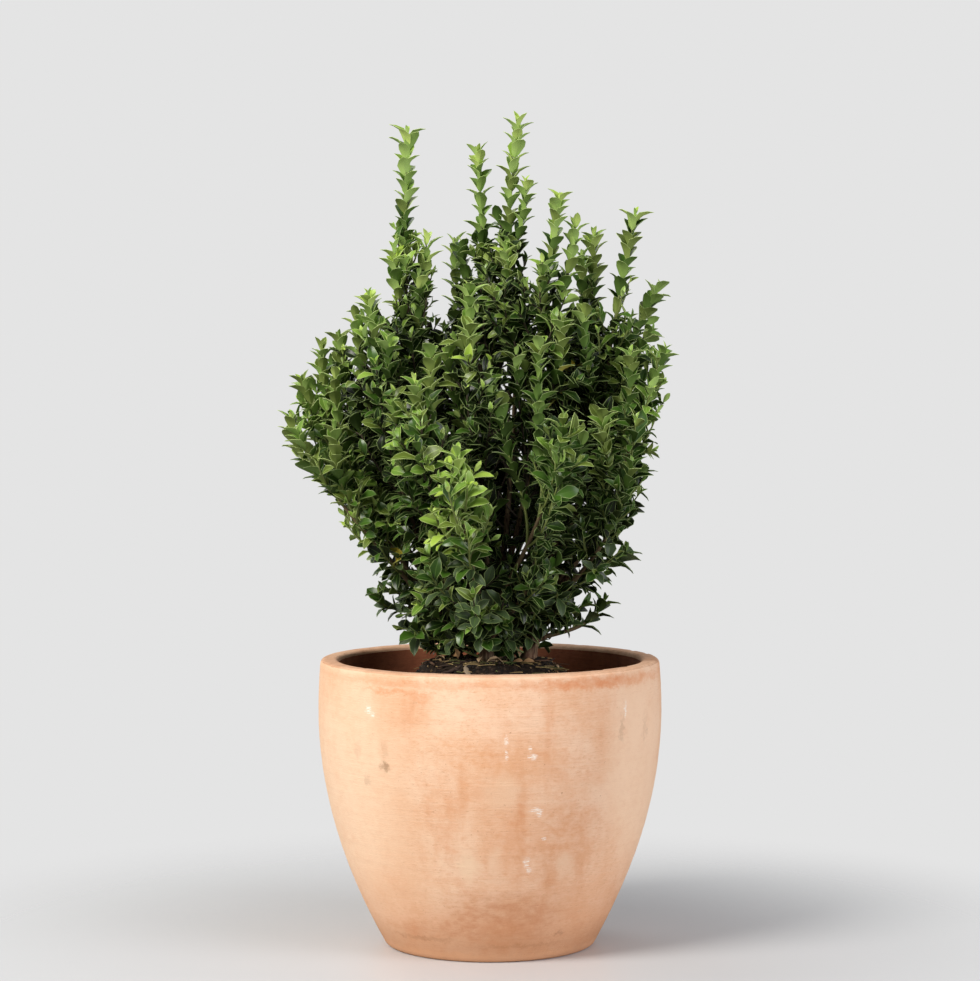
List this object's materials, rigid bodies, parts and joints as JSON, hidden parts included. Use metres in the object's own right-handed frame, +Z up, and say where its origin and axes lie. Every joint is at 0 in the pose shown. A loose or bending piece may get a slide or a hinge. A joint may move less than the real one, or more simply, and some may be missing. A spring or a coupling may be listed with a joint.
{
  "type": "potted japanese euonymus",
  "caption": "Bushy small-leaved evergreen shrub with upright leafy spires, growing from potting soil in a plain turned terracotta pot.",
  "frame": {"origin": "middle of the pot's flat underside, on the surface that it stands on", "axes": "+Z up, +X to the right and -Y towards the viewer of the fuller side, with the tallest spires left of and at the middle"},
  "size_m": [0.4561, 0.4096, 0.9639],
  "materials": {
    "terracotta": "matte",
    "compost": "matte",
    "bark": "matte",
    "foliage": "satin"
  },
  "bodies": {
    "root": {"bough_back_centre": "bark", "bough_back_left": "bark", "bough_back_right": "bark", "bough_centre_back": "bark", "bough_centre_left": "bark", "bough_centre_spire": "bark", "bough_front_centre": "bark", "bough_front_left": "bark", "bough_front_low": "bark", "bough_front_right": "bark", "bough_left_low": "bark", "bough_left_outer": "bark", "bough_left_shoulder": "bark", "bough_left_spire": "bark", "bough_left_upper": "bark", "bough_right_centre": "bark", "bough_right_inner": "bark", "bough_right_low": "bark", "bough_right_outer": "bark", "bough_right_side": "bark", "bough_right_spire": "bark", "foliage_back_centre": "foliage", "foliage_back_foot": "foliage", "foliage_back_left": "foliage", "foliage_back_right": "foliage", "foliage_centre_back": "foliage", "foliage_centre_left": "foliage", "foliage_centre_spire": "foliage", "foliage_front_centre": "foliage", "foliage_front_left": "foliage", "foliage_front_left_foot": "foliage", "foliage_front_low": "foliage", "foliage_front_right": "foliage", "foliage_front_right_foot": "foliage", "foliage_left_foot": "foliage", "foliage_left_low": "foliage", "foliage_left_outer": "foliage", "foliage_left_shoulder": "foliage", "foliage_left_spire": "foliage", "foliage_left_upper": "foliage", "foliage_right_centre": "foliage", "foliage_right_foot": "foliage", "foliage_right_inner": "foliage", "foliage_right_low": "foliage", "foliage_right_outer": "foliage", "foliage_right_side": "foliage", "foliage_right_spire": "foliage", "pot": "terracotta", "soil": "compost", "stem_back": "bark", "stem_centre": "bark", "stem_front": "bark", "stem_left": "bark", "stem_right": "bark"}
  },
  "joints": []
}
